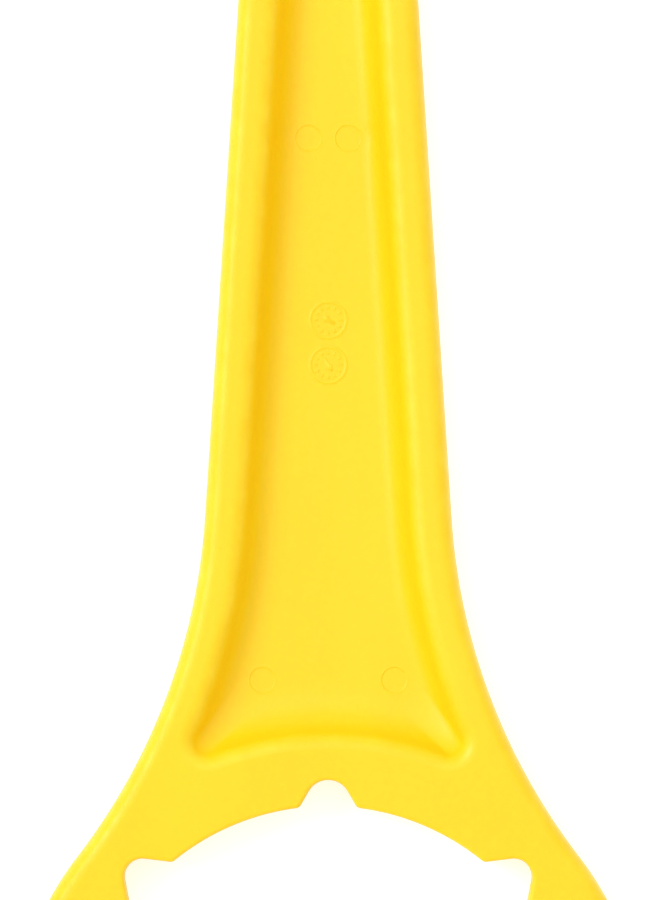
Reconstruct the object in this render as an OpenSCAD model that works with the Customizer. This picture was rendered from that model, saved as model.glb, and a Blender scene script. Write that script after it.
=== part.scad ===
// Plastic tyre lever, one moulding: a flared head with a notched arch between two short
// horns, a tapered handle with a channel sunk into its top, and an upturned tip.
// The outline is drawn about the centre of the arch and then moved, so that the origin is
// at the middle of the underside. +X is across, +Y runs to the tip, +Z is up out of the
// channel. Millimetres and degrees.

/* [Head] */
// Radius of the arch between the horns
arch_r = 19.6; // [19:0.1:20.5]
// Radius of the outside of the horns, about the arch's centre
head_r = 25.4; // [25:0.1:26]
// Angle from the centre line to the middle of each horn's round end
horn_angle = 67; // [62:1:72]
// Thickness of the head at the ends of the horns
horn_h = 4.5; // [3.5:0.1:5.5]
// Distance from the arch's centre at which the head reaches the full thickness
ramp_y = 27.5; // [24:0.5:34]

/* [Notches] */
// Radius at the bottom of the middle notch
mid_notch_r = 1.8; // [1.5:0.1:2.1]
// Distance of the middle notch's round bottom from the arch's centre
mid_notch_y = 19.9; // [19.5:0.1:20.5]
// Angle of each of its walls to its own centre line
mid_notch_flare = 30; // [20:1:32]
// Radius at the bottom of a side notch
side_notch_r = 1.45; // [1.2:0.05:1.6]
// Distance of a side notch's round bottom from the arch's centre
side_notch_y = 20.4; // [20:0.1:20.8]
// Angle of each of its walls to its own centre line
side_notch_flare = 36; // [25:1:40]
// Angle between the middle notch and a side notch
side_notch_angle = 46.9; // [44:0.1:50]

/* [Handle] */
// Full thickness of the moulding
body_h = 5.5; // [5:0.1:6.5]
// Half the width that the straight sides would have level with the arch's centre
side_x = 12.63; // [12:0.05:13]
// Angle of each straight side to the centre line
side_angle = 3.7; // [3:0.1:4]
// Radius of the hollow curve from the straight side to the head
flank_r = 50; // [42:1:56]

/* [Channel] */
// Width of the rim beside the channel
rim_w = 3.4; // [2.9:0.1:3.9]
// Width of the band between the arch and the channel
web_w = 6; // [5.5:0.1:7]
// Thickness of the floor under the channel
floor_h = 2.5; // [2:0.1:3]
// Radius of the channel's two corners beside the arch
corner_r = 1; // [0.8:0.1:2]
// Distance of the round upper end's centre from the arch's centre
channel_y = 88.5; // [84:0.5:90]

/* [Tip] */
// Distance of the tip from the arch's centre
tip_y = 125; // [122:0.5:130]
// Half the width of the blade
blade_x = 5.6; // [5.2:0.1:6]
// Distance at which the underside begins to curl up
curl_y = 98; // [95:0.5:102]
// Radius of the curled underside
curl_r = 90; // [85:1:110]
// Distance of the lowest point of the hollow in the blade's top
scoop_y = 110.5; // [109.5:0.5:112]
// Height of that lowest point
scoop_h = 3.7; // [3.4:0.1:4]
// Radius of the hollow
scoop_r = 45; // [42:1:50]

/* [Hidden] */
$fn = 96;
// Facets round the large circles
wide_fn = 360;
// How far a cut runs past what it cuts
past = 1;
// How far a notch's flared walls are drawn
notch_reach = 4;
// Curves that would only touch cross by this much instead
ease = 0.01;

// Unit vectors square to a straight side and along it
side_n = [cos(side_angle), sin(side_angle)];
side_t = [-sin(side_angle), cos(side_angle)];
side_d = side_x * cos(side_angle);

// Centre of the flank curve, tangent to the straight side and to the head's outside
flank_c_dist = flank_r + head_r;
flank_d = side_d + flank_r;
flank_c = flank_d * side_n + sqrt(flank_c_dist ^ 2 - flank_d ^ 2) * side_t;

// Centre line of the horns, their half width and their lowest point
horn_mid_r = (head_r + arch_r) / 2;
horn_end_r = (head_r - arch_r) / 2 + ease;
horn_y = horn_mid_r * cos(horn_angle) - horn_end_r;

// The channel's edge: inset side, inset flank, outside of the web
web_r = arch_r + web_w;
inset_d = side_d - rim_w;
inset_flank_r = flank_r + rim_w;
channel_end_r = inset_d - channel_y * sin(side_angle);
sharp_corner = meet(web_r, inset_flank_r);
corner_c = meet(web_r + corner_r, inset_flank_r + corner_r);

// Middle of the outline along Y, where the blade begins, and a height above everything
mid_y = (horn_y + tip_y) / 2;
top_h = 2 * body_h;
blade_y = (side_d - blade_x * cos(side_angle)) / sin(side_angle);

// Point at radius a from the arch's centre and radius b from the flank curve's centre,
// on the side of the centre line
function meet(a, b) =
    let (along = (a ^ 2 - b ^ 2 + flank_c_dist ^ 2) / (2 * flank_c_dist),
         off = sqrt(a ^ 2 - along ^ 2),
         u = flank_c / flank_c_dist)
    along * u + off * [-u.y, u.x];

// Point on the line at distance d from the flank curve's centre towards the straight side
function on_side(d) = flank_c - d * side_n;

// The same points on both sides of the centre line, as one closed outline
function both_sides(points) = concat(
    points,
    [for (i = [len(points) - 1:-1:0]) [-points[i].x, points[i].y]]
);

// Both hollow curves beside the handle, as discs to be cut away
module flank_discs(r) {
    for (s = [-1, 1])
        translate([s * flank_c.x, flank_c.y]) circle(r + ease, $fn = wide_fn);
}

// A round-bottomed notch in the arch that widens towards its mouth
module notch(angle, y, r, flare) {
    wall = [0, y] + (r - ease) * [cos(flare), sin(flare)];
    mouth = wall + notch_reach * [sin(flare), -cos(flare)];
    rotate(-angle) {
        translate([0, y]) circle(r);
        polygon(both_sides([mouth, wall]));
    }
}

module notches() {
    notch(0, mid_notch_y, mid_notch_r, mid_notch_flare);
    for (s = [-1, 1])
        notch(s * side_notch_angle, side_notch_y, side_notch_r, side_notch_flare);
}

// The head: part of a ring, with round ends
module horns() {
    far = 2 * head_r;
    intersection() {
        circle(head_r, $fn = wide_fn);
        polygon(concat(
            [[0, 0]],
            [for (k = [-2:2]) far * [sin(k * horn_angle / 2), cos(k * horn_angle / 2)]]
        ));
    }
    for (s = [-1, 1])
        translate(horn_mid_r * [s * sin(horn_angle), cos(horn_angle)]) circle(horn_end_r);
}

// The handle and blade, from the head to the round tip
module shank() {
    difference() {
        polygon(both_sides([
            flank_c * head_r / flank_c_dist, on_side(flank_r), [blade_x, blade_y],
            [blade_x, tip_y - blade_x]
        ]));
        flank_discs(flank_r);
    }
    translate([0, tip_y - blade_x]) circle(blade_x);
}

module outline() {
    difference() {
        union() {
            horns();
            shank();
        }
        circle(arch_r, $fn = wide_fn);
        notches();
    }
}

// The channel's edge with its two corners beside the arch left sharp
module sharp_channel() {
    end = [channel_end_r * cos(side_angle), channel_y + channel_end_r * sin(side_angle)];
    difference() {
        polygon(both_sides([sharp_corner, on_side(inset_flank_r), end]));
        flank_discs(inset_flank_r);
        circle(web_r, $fn = wide_fn);
    }
    translate([0, channel_y]) circle(channel_end_r + ease);
}

// What rounding takes off one of those corners, on the +X side
module channel_corner() {
    on_web = corner_c * web_r / (web_r + corner_r);
    on_flank = corner_c + corner_r * (flank_c - corner_c) / norm(flank_c - corner_c);
    polygon([sharp_corner + [past, -past], on_web, corner_c, on_flank]);
}

module channel_outline() {
    difference() {
        sharp_channel();
        channel_corner();
        mirror([1, 0]) channel_corner();
    }
    for (s = [-1, 1])
        translate([s * corner_c.x, corner_c.y]) circle(corner_r + ease);
}

// The side view, with Y across the page and Z up it
module side_view() {
    difference() {
        polygon([
            [horn_y - past, 0], [tip_y + past, 0], [tip_y + past, top_h], [scoop_y, top_h],
            [scoop_y, body_h], [ramp_y, body_h], [horn_y, horn_h], [horn_y - past, horn_h]
        ]);
        translate([scoop_y, scoop_h + scoop_r]) circle(scoop_r, $fn = wide_fn);
        difference() {
            translate([curl_y, -past]) square([tip_y - curl_y + 2 * past, body_h + past]);
            translate([curl_y, curl_r - ease]) circle(curl_r, $fn = wide_fn);
        }
    }
}

module lever_body() {
    color("gold")
    translate([0, -mid_y, 0])
    difference() {
        intersection() {
            linear_extrude(top_h) outline();
            rotate([90, 0, 90]) linear_extrude(3 * head_r, center = true) side_view();
        }
        translate([0, 0, floor_h]) linear_extrude(body_h) channel_outline();
    }
}

lever_body();
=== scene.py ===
"""Looks of the moulded tyre lever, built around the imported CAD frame.

The lever is one injection moulding, so one mesh stands for it. Its plan outline and its
channel are chains of lines and arcs about the centre of the arch, in millimetres. Rings of
points offset from those outlines carry the rounded edges, the drafted walls and the
fillets, and flat areas are triangulated between the rings.
"""

import math

import bpy
import numpy as np
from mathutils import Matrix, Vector
from mathutils.geometry import delaunay_2d_cdt


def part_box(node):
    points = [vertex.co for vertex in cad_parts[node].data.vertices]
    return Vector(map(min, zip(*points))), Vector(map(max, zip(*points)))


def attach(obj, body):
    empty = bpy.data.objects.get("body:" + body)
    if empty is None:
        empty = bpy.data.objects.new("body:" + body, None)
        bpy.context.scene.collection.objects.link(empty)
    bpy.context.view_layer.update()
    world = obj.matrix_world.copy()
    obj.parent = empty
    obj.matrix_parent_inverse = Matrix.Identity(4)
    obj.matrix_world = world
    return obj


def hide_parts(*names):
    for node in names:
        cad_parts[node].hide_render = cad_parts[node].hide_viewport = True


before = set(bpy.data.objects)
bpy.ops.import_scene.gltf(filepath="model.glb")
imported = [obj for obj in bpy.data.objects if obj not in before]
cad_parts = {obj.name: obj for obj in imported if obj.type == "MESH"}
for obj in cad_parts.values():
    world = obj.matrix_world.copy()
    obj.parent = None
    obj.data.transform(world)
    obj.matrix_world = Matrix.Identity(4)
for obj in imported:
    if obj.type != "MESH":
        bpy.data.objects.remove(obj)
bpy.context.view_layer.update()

# ---------------------------------------------------------------- sizes, in millimetres
MM = 0.001
NODE = "lever_body"

# Head: the arch, the ring-shaped horns and the slope of their top
ARCH_R = 19.6
HEAD_R = 25.4
HORN_ANGLE = math.radians(67)
HORN_H = 4.5
RAMP_Y = 27.5

# Notches: radius and distance of the round bottom, flare of the walls, place on the arch
MID_NOTCH = (1.8, 19.9, math.radians(30))
SIDE_NOTCH = (1.45, 20.4, math.radians(36))
SIDE_NOTCH_ANGLE = math.radians(46.9)
MOUTH_R = 0.5

# Handle
BODY_H = 5.5
SIDE_X = 12.63
SIDE_ANGLE = math.radians(3.7)
FLANK_R = 50.0

# Channel
RIM_W = 3.4
WEB_W = 6.0
FLOOR_H = 2.5
CHANNEL_CORNER_R = 1.0
CHANNEL_Y = 88.5

# Tip
TIP_Y = 125.0
BLADE_X = 5.6
BLADE_BLEND_R = 40.0
CURL_Y = 98.0
CURL_R = 90.0
SCOOP_Y = 110.5
SCOOP_H = 3.7
SCOOP_R = 45.0

# Softening where the head's slope and the scoop meet the level top, and how far to each
# side of its lowest point the scoop's circle is followed (less than its radius)
RAMP_BLEND = 0.15
SCOOP_BLEND = 0.6
SCOOP_REACH = 40

# Edges: rounding of each kind of edge, how far before the scoop's lowest point the blade's
# begins, the largest share of the thickness that a round takes, how fast a round or the
# fillet's share may change along its outline, and the wall's draft
OUTER_ROUND = 1.2
BLADE_ROUND = 0.7
ARCH_ROUND = 0.28
BLADE_EDGE_LEAD = 8
MOST_ROUND = 0.42
ROUND_GROWTH = 0.3
OUTER_DRAFT = 0.05

# Channel: the round at its rim and how far it turns down, the width of the fillet that
# sweeps on down to the floor at the sides and at the web, and the floor's corner radius
RIM_ROUND = 1.5
RIM_TURN = math.radians(68)
FILLET_W = 2.0
WEB_FILLET_W = 3.2
FLOOR_CORNER_R = 1.6

# Mould's parting line, and the narrow flat ring that ends each rounded edge
PARTING_W = 0.12
PARTING_PROUD = 0.03
SUPPORT_W = 0.12

# Marks that the mould leaves: radius and height steps of each, from the outside in. The
# fillet's foot keeps PIN_CLEAR away from the middle of each pin mark
PIN_MARK = ((1.16, 0), (1.12, 0), (1.08, 0.025), (1.04, 0), (0.98, -0.05), (0.92, -0.05))
PIN_PLACES = ((1.6, 73.2), (-1.6, 73.2), (5.3, 29.7), (-5.3, 29.7))
PIN_CLEAR = 1.2
DIAL_RIM = ((1.64, 0), (1.58, 0), (1.52, 0.05), (1.38, 0.05), (1.32, 0), (1.26, 0))
DIAL_PLACES = ((0, 58.6), (0, 55.0))
DIAL_TURNS = (math.radians(-60), math.radians(150))
TICKS = 12
TICK_W = 0.13
TICK_REACH = (0.88, 1.14)
ARROW = ((-0.1, -0.6), (0.1, -0.6), (0.1, 0.1), (0.3, 0.1), (0, 0.6), (-0.3, 0.1), (-0.1, 0.1))
MARK_H = 0.05
MARK_SLOPE = 0.04
GATE_Y = 66.0
GATE_MARK = (
    (2.7, 0), (2.6, 0), (2.5, 0.03), (2.1, 0.27), (2, 0.3), (0.8, 0.3), (0.7, 0.28),
    (0.6, 0.12), (0.5, 0.1), (0.4, 0.1),
)

# Gap under the lever, so that its underside and the floor don't lie in one plane
FLOOR_GAP = 0.02

# Spacing of points: the longest step along an outline, the most that one step on an arc
# turns in radians, the grid across a flat area, and the share of a grid step that the grid
# keeps clear of an edge
STEP = 0.4
ARC_TURN = 0.2
FILL_STEP = 1.5
FILL_CLEAR = 0.5

# Numbers of steps: across a rounded edge, round a mark, along half the channel's outline
# (web, corner, flank, side, round end), and to find how far the fillet can reach. Points
# closer than SAME_POINT count as one when a flat area is triangulated
ROUND_STEPS = 6
MARK_SIDES = 48
CHANNEL_STEPS = (28, 12, 75, 110, 16)
SHARE_STEPS = 50
SAME_POINT = 1e-7

# Colours of the plastic: the two that the flow marks run between, and the paler colour of its
# rounded edges
PLASTIC_DEEP = (0.95, 0.608, 0.001, 1)
PLASTIC_LIGHT = (0.97, 0.652, 0.003, 1)
# Paler rounded edges: partly polish from handling, partly a painted highlight where the rounds catch
# the light
PLASTIC_WORN_AND_LIT = (1.0, 0.75, 0.03, 1)

# Camera: the height of the view and its middle, about the arch's centre
VIEW_H = 72.0
VIEW_X = 0.14
VIEW_Y = 48.16

# Stage, in metres: the camera's distance above the top, and half the floor's width
CAMERA_DISTANCE = 0.9
FLOOR_REACH = 3.0


# ---------------------------------------------------------------- plan outlines
def polar(radius, angle):
    """Point at an angle measured clockwise from +Y, about the arch's centre."""
    return np.array([radius * math.sin(angle), radius * math.cos(angle)])


def turn(points, angle):
    """Points turned clockwise about the arch's centre."""
    c, s = math.cos(angle), math.sin(angle)
    return points @ np.array([[c, -s], [s, c]])


def mirrored(points):
    """The same chain on the other side of the centre line, walked the other way."""
    return points[::-1] * [-1, 1]


def arc(centre, radius, start, end, count=None):
    """Points on an arc, angles counter-clockwise from +X."""
    sweep = abs(end - start)
    count = count or math.ceil(max(radius * sweep / STEP, sweep / ARC_TURN))
    angles = np.linspace(start, end, count + 1)
    return np.array(centre) + radius * np.column_stack([np.cos(angles), np.sin(angles)])


def line(start, end, count=None):
    count = count or math.ceil(np.linalg.norm(np.subtract(end, start)) / STEP)
    return np.linspace(start, end, count + 1)


def chain(*pieces):
    """Pieces joined end to end, each shared point kept once."""
    joined = [pieces[0]]
    for piece in pieces[1:]:
        joined.append(piece[1:])
    return np.vstack(joined)


SIDE_N = np.array([math.cos(SIDE_ANGLE), math.sin(SIDE_ANGLE)])
SIDE_T = np.array([-SIDE_N[1], SIDE_N[0]])
SIDE_D = SIDE_X * math.cos(SIDE_ANGLE)
FLANK_DIST = FLANK_R + HEAD_R
FLANK_D = SIDE_D + FLANK_R
FLANK_C = FLANK_D * SIDE_N + math.sqrt(FLANK_DIST**2 - FLANK_D**2) * SIDE_T
FLANK_ANGLE = math.atan2(FLANK_C[1], FLANK_C[0])
HORN_MID_R = (HEAD_R + ARCH_R) / 2
HORN_END_R = (HEAD_R - ARCH_R) / 2
HORN_Y = HORN_MID_R * math.cos(HORN_ANGLE) - HORN_END_R


def half_notch(radius, depth, flare):
    """From a notch's deepest point down its right wall and round the mouth's corner."""
    normal = np.array([math.cos(flare), math.sin(flare)])
    down = np.array([normal[1], -normal[0]])
    foot = np.array([0, depth]) + radius * normal
    start = foot + MOUTH_R * normal
    along = start @ down
    reach = -along - math.sqrt(along**2 - start @ start + (ARCH_R + MOUTH_R) ** 2)
    corner = start + reach * down
    corner_angle = math.atan2(corner[1], corner[0])
    return chain(
        arc((0, depth), radius, math.pi / 2, flare),
        line(foot, corner - MOUTH_R * normal),
        arc(corner, MOUTH_R, flare + math.pi, corner_angle + math.pi),
    )


def lever_outline():
    """The right half of the outline, from the middle notch to the tip, then the left."""
    middle = half_notch(*MID_NOTCH)
    side_half = half_notch(*SIDE_NOTCH)
    side = turn(chain(mirrored(side_half), side_half), SIDE_NOTCH_ANGLE)
    first = math.atan2(middle[-1][1], middle[-1][0])
    second = math.atan2(side[0][1], side[0][0])
    third = math.atan2(side[-1][1], side[-1][0])
    horn = math.pi / 2 - HORN_ANGLE
    kink = math.tan(SIDE_ANGLE / 2) * BLADE_BLEND_R
    blade_y = (SIDE_D - BLADE_X * SIDE_N[0]) / SIDE_N[1]
    blade_c = (BLADE_X + BLADE_BLEND_R, blade_y + kink)
    blade_start = np.array(blade_c) - BLADE_BLEND_R * SIDE_N
    half = chain(
        middle,
        arc((0, 0), ARCH_R, first, second),
        side,
        arc((0, 0), ARCH_R, third, horn),
        arc(polar(HORN_MID_R, HORN_ANGLE), HORN_END_R, horn - math.pi, horn),
        arc((0, 0), HEAD_R, horn, FLANK_ANGLE),
        arc(FLANK_C, FLANK_R, FLANK_ANGLE + math.pi, SIDE_ANGLE + math.pi),
        line(FLANK_C - FLANK_R * SIDE_N, blade_start),
        arc(blade_c, BLADE_BLEND_R, SIDE_ANGLE + math.pi, math.pi),
        line((BLADE_X, blade_y + kink), (BLADE_X, TIP_Y - BLADE_X)),
        arc((0, TIP_Y - BLADE_X), BLADE_X, 0, math.pi / 2),
    )
    return chain(half, mirrored(half))[:-1]


def channel_outline(web_inset, side_inset, corner_r):
    """An outline of the channel, from its foot above the arch to its round upper end, inset
    from the channel's top edge. Each piece always has the same number of points."""
    web = ARCH_R + WEB_W + web_inset
    flank = FLANK_R + RIM_W + side_inset
    near, far = web + corner_r, flank + corner_r
    along = (near**2 - far**2 + FLANK_DIST**2) / (2 * FLANK_DIST)
    unit = FLANK_C / FLANK_DIST
    corner = along * unit + math.sqrt(near**2 - along**2) * np.array([-unit[1], unit[0]])
    to_flank = FLANK_C - corner
    web_angle = math.atan2(corner[1], corner[0])
    flank_angle = math.atan2(to_flank[1], to_flank[0])
    end_r = SIDE_D - RIM_W - side_inset - CHANNEL_Y * SIDE_N[1]
    end_c = np.array([0, CHANNEL_Y])
    web_steps, corner_steps, flank_steps, side_steps, end_steps = CHANNEL_STEPS
    half = chain(
        arc((0, 0), web, math.pi / 2, web_angle, web_steps),
        arc(corner, corner_r, web_angle - math.pi, flank_angle, corner_steps),
        arc(FLANK_C, flank, flank_angle + math.pi, SIDE_ANGLE + math.pi, flank_steps),
        line(FLANK_C - flank * SIDE_N, end_c + end_r * SIDE_N, side_steps),
        arc(end_c, end_r, SIDE_ANGLE, math.pi / 2, end_steps),
    )
    return chain(half, mirrored(half))[:-1]


def outward(loop):
    """Unit normals that point away from the inside of a counter-clockwise loop."""
    ahead = np.roll(loop, -1, 0) - loop
    ahead /= np.linalg.norm(ahead, axis=1)[:, None]
    tangent = ahead + np.roll(ahead, 1, 0)
    tangent /= np.linalg.norm(tangent, axis=1)[:, None]
    return np.column_stack([tangent[:, 1], -tangent[:, 0]])


def tapered(values, loop):
    """Values along a loop, lowered where they would change faster than ROUND_GROWTH."""
    place = np.cumsum(np.linalg.norm(np.roll(loop, -1, 0) - loop, axis=1))
    away = np.abs(place[:, None] - place[None, :])
    away = np.minimum(away, place[-1] - away)
    return (values[None, :] + ROUND_GROWTH * away).min(1)


# ---------------------------------------------------------------- heights
def soft_min(a, b, blend):
    """The lower of two heights, rounded where they cross."""
    mix = np.clip(0.5 + 0.5 * (b - a) / blend, 0, 1)
    return b + (a - b) * mix - blend * mix * (1 - mix)


def top_height(y):
    """Height of the lever's top: the sloping head, the level handle and the scooped blade."""
    ramp = HORN_H + (BODY_H - HORN_H) * (y - HORN_Y) / (RAMP_Y - HORN_Y)
    body = soft_min(ramp, np.full_like(y, BODY_H), RAMP_BLEND)
    away = np.clip(y - SCOOP_Y, -SCOOP_REACH, SCOOP_REACH)
    scoop = SCOOP_H + SCOOP_R - np.sqrt(SCOOP_R**2 - away**2)
    return np.where(y < SCOOP_Y, soft_min(body, scoop, SCOOP_BLEND), scoop)


def under_height(y):
    """Height of the underside, which curls up under the blade."""
    past = np.clip(y - CURL_Y, 0, None)
    return CURL_R - np.sqrt(CURL_R**2 - past**2)


def level(height):
    """A height function for a flat area."""
    return lambda points: np.full(len(points), height)


# ---------------------------------------------------------------- mesh building
class Moulding:
    """Points, faces and an edge mask for wear and painted highlight, gathered ring by ring."""

    def __init__(self):
        self.points = []
        self.faces = []
        self.wear_and_highlight = []

    def add(self, xy, z, wear_and_highlight=0.0):
        """Adds points and returns their numbers."""
        first = len(self.points)
        self.points.extend(np.column_stack([xy, np.broadcast_to(z, len(xy))]).tolist())
        self.wear_and_highlight.extend(np.broadcast_to(wear_and_highlight, len(xy)).tolist())
        return np.arange(first, first + len(xy))

    def band(self, inner, outer):
        """Quads between two counter-clockwise rings. They face up where outer encloses
        inner, and outwards where inner lies above outer."""
        ahead_in, ahead_out = np.roll(inner, -1), np.roll(outer, -1)
        self.faces.extend(np.column_stack([outer, ahead_out, ahead_in, inner]).tolist())

    def flat(self, edge, holes, height, up):
        """Triangles that fill the area inside edge and outside holes. height gives z at the
        points that are added inside."""
        xyz = np.array(self.points)
        rings = [edge, *holes]
        numbers = np.concatenate(rings)
        bounds = [xyz[ring, :2] for ring in rings]
        extra = fill_points(bounds)
        new = self.add(extra, height(extra))
        numbers = np.concatenate([numbers, new])
        ties = []
        first = 0
        for ring in rings:
            count = len(ring)
            ties.extend((first + k, first + (k + 1) % count) for k in range(count))
            first += count
        places = [Vector(p) for p in np.vstack([*bounds, extra])]
        _, _, faces, sources, _, _ = delaunay_2d_cdt(places, ties, [], 0, SAME_POINT)
        number = np.array([numbers[s[0]] for s in sources])
        triangles = number[np.array(faces)]
        centres = np.array(self.points)[triangles, :2].mean(1)
        triangles = triangles[inside_area(centres, bounds)]
        self.faces.extend((triangles if up else triangles[:, ::-1]).tolist())


def inside(points, loop):
    """Which points lie inside a closed loop, by counting crossings."""
    x, y = points[:, :1], points[:, 1:]
    ahead = np.roll(loop, -1, 0)
    crosses = (loop[:, 1] > y) != (ahead[:, 1] > y)
    rise = np.where(ahead[:, 1] == loop[:, 1], 1, ahead[:, 1] - loop[:, 1])
    at = loop[:, 0] + (y - loop[:, 1]) * (ahead[:, 0] - loop[:, 0]) / rise
    return (crosses & (x < at)).sum(1) % 2 == 1


def inside_area(points, bounds):
    """Which points lie inside the first loop and outside the others."""
    keep = inside(points, bounds[0])
    for hole in bounds[1:]:
        keep &= ~inside(points, hole)
    return keep


def fill_points(bounds):
    """A triangular grid over the area, clear of its edges."""
    low, high = bounds[0].min(0), bounds[0].max(0)
    row = FILL_STEP * math.sqrt(3) / 2
    grid = [
        (x + (FILL_STEP / 2 if k % 2 else 0), y)
        for k, y in enumerate(np.arange(low[1], high[1], row))
        for x in np.arange(-math.ceil(-low[0] / FILL_STEP) * FILL_STEP, high[0], FILL_STEP)
    ]
    grid = np.array(grid).reshape(-1, 2)
    grid = grid[inside_area(grid, bounds)]
    gap = np.linalg.norm(grid[:, None] - np.vstack(bounds)[None], axis=2).min(1, initial=math.inf)
    return grid[gap > FILL_CLEAR * FILL_STEP]


def round_angles():
    """Angles of a quarter round, from the wall to the flat."""
    return np.linspace(0, math.pi / 2, ROUND_STEPS + 1)


def outer_shell(mould):
    """The outside wall with its rounded edges. Returns the rings where the top and the
    underside begin."""
    loop = lever_outline()
    normal = outward(loop)
    y = loop[:, 1]
    on_arch = np.linalg.norm(loop, axis=1) < HORN_MID_R
    on_blade = y > SCOOP_Y - BLADE_EDGE_LEAD
    kind = np.where(on_arch, ARCH_ROUND, np.where(on_blade, BLADE_ROUND, OUTER_ROUND))
    most = MOST_ROUND * (top_height(y) - under_height(y))
    size = np.minimum(tapered(kind, loop), most)
    middle = (top_height(y) + under_height(y)) / 2

    def ring(inset, height, wear_and_highlight):
        xy = loop - inset[:, None] * normal
        return mould.add(xy, height(xy[:, 1]), wear_and_highlight)

    rings = []
    wide = np.full(len(loop), SUPPORT_W)
    whole = size + OUTER_DRAFT
    rings.append(ring(whole + wide, under_height, 0))
    # The middle of each round gets the edge mask: polish there, and a painted highlight where the
    # round catches the light
    for angle in round_angles()[::-1]:
        inset = OUTER_DRAFT + size * (1 - math.cos(angle))
        rise = size * (1 - math.sin(angle))
        rings.append(ring(inset, lambda v, r=rise: under_height(v) + r, math.sin(2 * angle)))
    for off, proud in ((-2, 0), (-1, 0), (0, PARTING_PROUD), (1, 0), (2, 0)):
        inset = np.full(len(loop), -float(proud))
        rings.append(ring(inset, lambda v, o=off: middle + o * PARTING_W / 2, 0))
    for angle in round_angles():
        inset = OUTER_DRAFT + size * (1 - math.cos(angle))
        drop = size * (1 - math.sin(angle))
        rings.append(ring(inset, lambda v, d=drop: top_height(v) - d, math.sin(2 * angle)))
    rings.append(ring(whole + wide, top_height, 0))
    for lower, upper in zip(rings, rings[1:]):
        mould.band(upper, lower)
    return rings[0], rings[-1]


def clear_share(start, reach):
    """How much of each step from start can be taken before it comes too near a pin mark."""
    parts = np.linspace(0, 1, SHARE_STEPS + 1)
    path = start[:, None] + reach[:, None] * parts[None, :, None]
    gaps = [np.linalg.norm(path - pin, axis=2) for pin in PIN_PLACES]
    clear = np.min(gaps, axis=0) > PIN_CLEAR
    return (np.cumprod(clear, axis=1).sum(1) - 1) / SHARE_STEPS


def channel_shell(mould):
    """The channel's rounded rim and the wide fillet below it. Returns the rings where the
    top and the floor begin."""
    edge = channel_outline(0, 0, CHANNEL_CORNER_R)
    normal = outward(edge)
    angles = np.linspace(0, RIM_TURN, ROUND_STEPS + 1)
    across = 1 - np.sin(angles) / math.sin(RIM_TURN)
    down = (1 - np.cos(angles)) / (1 - math.cos(RIM_TURN))
    rim_w = RIM_ROUND * math.sin(RIM_TURN)
    rim_drop = RIM_ROUND * (1 - math.cos(RIM_TURN))

    def ring(out, drop, wear_and_highlight):
        xy = edge + out * normal
        return mould.add(xy, top_height(xy[:, 1]) - drop, wear_and_highlight)

    rings = [ring(rim_w + SUPPORT_W, 0, 0)]
    for width, drop, angle in zip(across, down, angles):
        # The rim's round gets the edge mask: polish, and a painted highlight where it catches the
        # light
        worn_and_lit = math.sin(math.pi * angle / RIM_TURN)
        rings.append(ring(rim_w * width, rim_drop * drop, worn_and_lit))

    reach = channel_outline(WEB_FILLET_W, FILLET_W, FLOOR_CORNER_R) - edge
    share = tapered(clear_share(edge, reach), edge)
    wall_h = top_height(edge[:, 1]) - rim_drop - FLOOR_H
    for width, rise in zip(across[-2::-1], down[-2::-1]):
        rings.append(mould.add(edge + reach * (share * width)[:, None], FLOOR_H + wall_h * rise))
    for outer, inner in zip(rings, rings[1:]):
        mould.band(inner, outer)
    return rings[0], rings[-1]


def round_steps(mould, centre, steps, base, up):
    """Rings of one round mark, from the outside in. Returns the first and the last."""
    angles = np.linspace(0, 2 * math.pi, MARK_SIDES, endpoint=False)
    unit = np.column_stack([np.cos(angles), np.sin(angles)])
    rings = [mould.add(np.array(centre) + radius * unit, base + rise) for radius, rise in steps]
    for outer, inner in zip(rings, rings[1:]):
        mould.band(*((inner, outer) if up else (outer, inner)))
    return rings[0], rings[-1]


def raised(mould, outline):
    """A low raised shape on the channel's floor. Returns the ring at its foot."""
    apron = mould.add(outline + 2 * MARK_SLOPE * outward(outline), FLOOR_H)
    foot = mould.add(outline + MARK_SLOPE * outward(outline), FLOOR_H)
    crest = mould.add(outline, FLOOR_H + MARK_H)
    mould.band(foot, apron)
    mould.band(crest, foot)
    mould.flat(crest, [], level(FLOOR_H + MARK_H), True)
    return apron


def pin_mark(mould, centre):
    """The shallow round mark of an ejector pin, with its thin lip."""
    edge, pan = round_steps(mould, centre, PIN_MARK, FLOOR_H, True)
    mould.flat(pan, [], level(FLOOR_H + PIN_MARK[-1][1]), True)
    return edge


def dial_mark(mould, centre, angle):
    """A setting dial without any figures: a raised rim, a ring of ticks and an arrow."""
    edge, pan = round_steps(mould, centre, DIAL_RIM, FLOOR_H, True)
    near, far = TICK_REACH
    tick = np.array([[TICK_W / 2, near], [TICK_W / 2, far], [-TICK_W / 2, far], [-TICK_W / 2, near]])
    shapes = [turn(tick, k * 2 * math.pi / TICKS) for k in range(TICKS)]
    shapes.append(turn(np.array(ARROW), angle))
    feet = [raised(mould, shape + centre) for shape in shapes]
    mould.flat(pan, feet, level(FLOOR_H), True)
    return edge


def gate_mark(mould):
    """The dimple in the underside where the plastic came in, with its broken-off stub."""
    edge, stub = round_steps(mould, (0, GATE_Y), GATE_MARK, 0, False)
    mould.flat(stub, [], level(GATE_MARK[-1][1]), False)
    return edge


def lever_mesh():
    mould = Moulding()
    under, top = outer_shell(mould)
    rim, floor = channel_shell(mould)
    marks = [pin_mark(mould, place) for place in PIN_PLACES]
    marks += [dial_mark(mould, place, angle) for place, angle in zip(DIAL_PLACES, DIAL_TURNS)]
    mould.flat(top, [rim], lambda p: top_height(p[:, 1]), True)
    mould.flat(floor, marks, level(FLOOR_H), True)
    mould.flat(under, [gate_mark(mould)], lambda p: under_height(p[:, 1]), False)
    return mould


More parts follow.
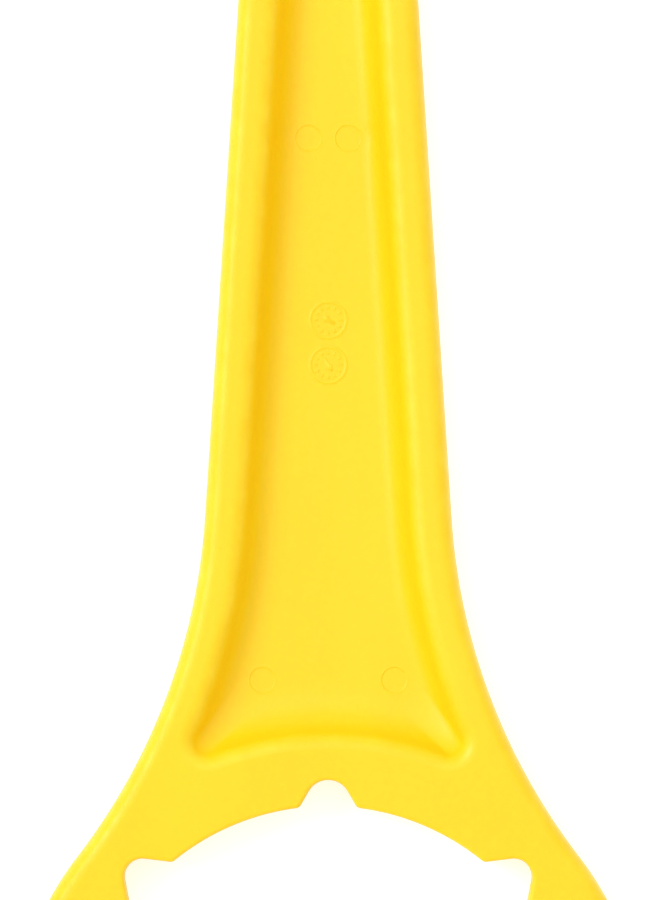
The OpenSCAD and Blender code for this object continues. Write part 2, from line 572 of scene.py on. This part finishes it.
def as_object(name, mould, material):
    """The moulding as a Blender object, moved from the arch's centre to the frame's."""
    points = np.array(mould.points)
    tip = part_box(NODE)[1].y / MM
    points[:, 1] += tip - TIP_Y
    mesh = bpy.data.meshes.new(name)
    mesh.from_pydata((points * MM).tolist(), [], mould.faces)
    mesh.shade_smooth()
    # The edge mask: wear, and the painted highlight on rounded edges
    wear_and_highlight = mesh.attributes.new("edge_wear_and_highlight", "FLOAT", "POINT")
    wear_and_highlight.data.foreach_set("value", np.array(mould.wear_and_highlight, np.float32))
    mesh.materials.append(material)
    obj = bpy.data.objects.new(name, mesh)
    bpy.context.scene.collection.objects.link(obj)
    return obj


# ---------------------------------------------------------------- materials
def stretched(tree, vector, scale):
    """Object coordinates scaled along each axis, so that a pattern can run along Y."""
    node = tree.nodes.new("ShaderNodeMapping")
    node.inputs["Scale"].default_value = scale
    tree.links.new(vector, node.inputs["Vector"])
    return node.outputs["Vector"]


def noise(tree, vector, scale, detail=2.0):
    node = tree.nodes.new("ShaderNodeTexNoise")
    node.inputs["Scale"].default_value = scale
    node.inputs["Detail"].default_value = detail
    tree.links.new(vector, node.inputs["Vector"])
    return node.outputs["Fac"]


def spread(tree, value, start, end, low=0.0, high=1.0):
    """A value's range from start to end, mapped to the range from low to high."""
    node = tree.nodes.new("ShaderNodeMapRange")
    for name, number in zip(("From Min", "From Max", "To Min", "To Max"), (start, end, low, high)):
        node.inputs[name].default_value = number
    tree.links.new(value, node.inputs["Value"])
    return node.outputs["Result"]


def combined(tree, operation, first, second):
    node = tree.nodes.new("ShaderNodeMath")
    node.operation = operation
    tree.links.new(first, node.inputs[0])
    tree.links.new(second, node.inputs[1])
    return node.outputs["Value"]


def blended(tree, factor, first, second):
    """One colour turning into another. first may be a socket or a colour."""
    node = tree.nodes.new("ShaderNodeMix")
    node.data_type = "RGBA"
    socket = {item.identifier: item for item in node.inputs}
    tree.links.new(factor, socket["Factor_Float"])
    if isinstance(first, tuple):
        socket["A_Color"].default_value = first
    else:
        tree.links.new(first, socket["A_Color"])
    socket["B_Color"].default_value = second
    return next(item for item in node.outputs if item.identifier == "Result_Color")


def bumped(tree, height, distance, under=None):
    """Surface relief of that height in metres, laid over any relief under it."""
    node = tree.nodes.new("ShaderNodeBump")
    node.inputs["Distance"].default_value = distance
    tree.links.new(height, node.inputs["Height"])
    if under is not None:
        tree.links.new(under, node.inputs["Normal"])
    return node.outputs["Normal"]


def plastic():
    """Yellow plastic, coloured right through: flow marks along the handle, the mould's fine
    spark-eroded grain, faint rub marks, and rounded edges polished by handling and painted paler as
    a highlight."""
    material = bpy.data.materials.new("moulded_plastic")
    material.use_nodes = True
    tree = material.node_tree
    shader = tree.nodes["Principled BSDF"]
    shader.inputs["IOR"].default_value = 1.45
    shader.inputs["Subsurface Weight"].default_value = 0.2
    shader.inputs["Subsurface Radius"].default_value = (1.0, 0.55, 0.05)
    shader.inputs["Subsurface Scale"].default_value = 0.0012
    place = tree.nodes.new("ShaderNodeTexCoord").outputs["Object"]

    flow = noise(tree, stretched(tree, place, (1, 0.3, 1)), 130, 4)
    speck = noise(tree, place, 1900, 3)
    rub = noise(tree, stretched(tree, place, (1, 0.05, 1)), 2600, 3)
    grain = noise(tree, place, 6500, 2)
    swell = noise(tree, place, 320, 1)

    # The edge mask, broken into patches: polish, and a painted highlight on the rounds
    worn_and_lit = tree.nodes.new("ShaderNodeAttribute")
    worn_and_lit.attribute_name = "edge_wear_and_highlight"
    patches = spread(tree, noise(tree, place, 420, 4), 0.42, 0.68)
    wear_and_highlight = combined(tree, "MULTIPLY", worn_and_lit.outputs["Fac"], patches)

    streaks = spread(tree, flow, 0.3, 0.7, 0, 0.7)
    specks = spread(tree, speck, 0.35, 0.65, 0, 0.3)
    tone = combined(tree, "ADD", streaks, specks)
    colour = blended(tree, tone, PLASTIC_DEEP, PLASTIC_LIGHT)
    # Painted highlight: the edge mask lightens the colour towards the paler edge colour
    painted_edge_highlight = spread(tree, wear_and_highlight, 0, 1, 0, 0.35)
    tree.links.new(blended(tree, painted_edge_highlight, colour, PLASTIC_WORN_AND_LIT), shader.inputs["Base Color"])

    rubbed = spread(tree, rub, 0.3, 0.7, 0.42, 0.5)
    polish = spread(tree, wear_and_highlight, 0, 1, 0, -0.1)
    roughness = combined(tree, "ADD", rubbed, polish)
    tree.links.new(roughness, shader.inputs["Roughness"])

    relief = bumped(tree, swell, 2.5e-5)
    tree.links.new(bumped(tree, grain, 6e-6, relief), shader.inputs["Normal"])
    return material


def floor_paper():
    material = bpy.data.materials.new("floor")
    material.use_nodes = True
    shader = material.node_tree.nodes["Principled BSDF"]
    shader.inputs["Base Color"].default_value = (0.6, 0.6, 0.6, 1)
    shader.inputs["Roughness"].default_value = 0.9
    shader.inputs["Emission Color"].default_value = (1, 1, 1, 1)
    shader.inputs["Emission Strength"].default_value = 0.6
    return material


# ---------------------------------------------------------------- camera, light and stage
def camera():
    """Square above the handle, far away, framed on the part that runs from the horns to
    the middle of the handle."""
    data = bpy.data.cameras.new("camera")
    obj = bpy.data.objects.new("camera", data)
    bpy.context.scene.collection.objects.link(obj)
    data.sensor_fit = "VERTICAL"
    data.sensor_height = 24
    data.lens = data.sensor_height * CAMERA_DISTANCE / (VIEW_H * MM)
    data.clip_start = 0.01
    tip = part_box(NODE)[1].y
    centre_y = tip + (VIEW_Y - TIP_Y) * MM
    obj.location = (VIEW_X * MM, centre_y, BODY_H * MM + CAMERA_DISTANCE)
    bpy.context.scene.camera = obj


def area_light(name, location, aim, size, power):
    data = bpy.data.lights.new(name, "AREA")
    data.shape = "DISK"
    data.size = size
    data.energy = power
    obj = bpy.data.objects.new(name, data)
    obj.location = location
    direction = Vector(aim) - Vector(location)
    obj.rotation_euler = direction.to_track_quat("-Z", "Y").to_euler()
    bpy.context.scene.collection.objects.link(obj)


def surroundings():
    world = bpy.data.worlds.new("world")
    world.use_nodes = True
    world.node_tree.nodes["Background"].inputs["Color"].default_value = (1, 1, 1, 1)
    world.node_tree.nodes["Background"].inputs["Strength"].default_value = 0.75
    bpy.context.scene.world = world
    area_light("key", (-0.55, 0.16, 0.62), (0, 0, 0), 0.4, 2.8)
    area_light("overhead", (0, 0.5, 1.5), (0, 0, 0), 1.6, 6.8)
    bpy.context.scene.view_settings.view_transform = "Standard"


def floor():
    mesh = bpy.data.meshes.new("floor")
    low = -FLOOR_GAP * MM
    signs = ((-1, -1), (1, -1), (1, 1), (-1, 1))
    corners = [(x * FLOOR_REACH, y * FLOOR_REACH, low) for x, y in signs]
    mesh.from_pydata(corners, [], [(0, 1, 2, 3)])
    mesh.materials.append(floor_paper())
    obj = bpy.data.objects.new("floor", mesh)
    bpy.context.scene.collection.objects.link(obj)


camera()
surroundings()
floor()

lever = as_object("lever_moulding", lever_mesh(), plastic())
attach(lever, "root")
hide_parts(NODE)
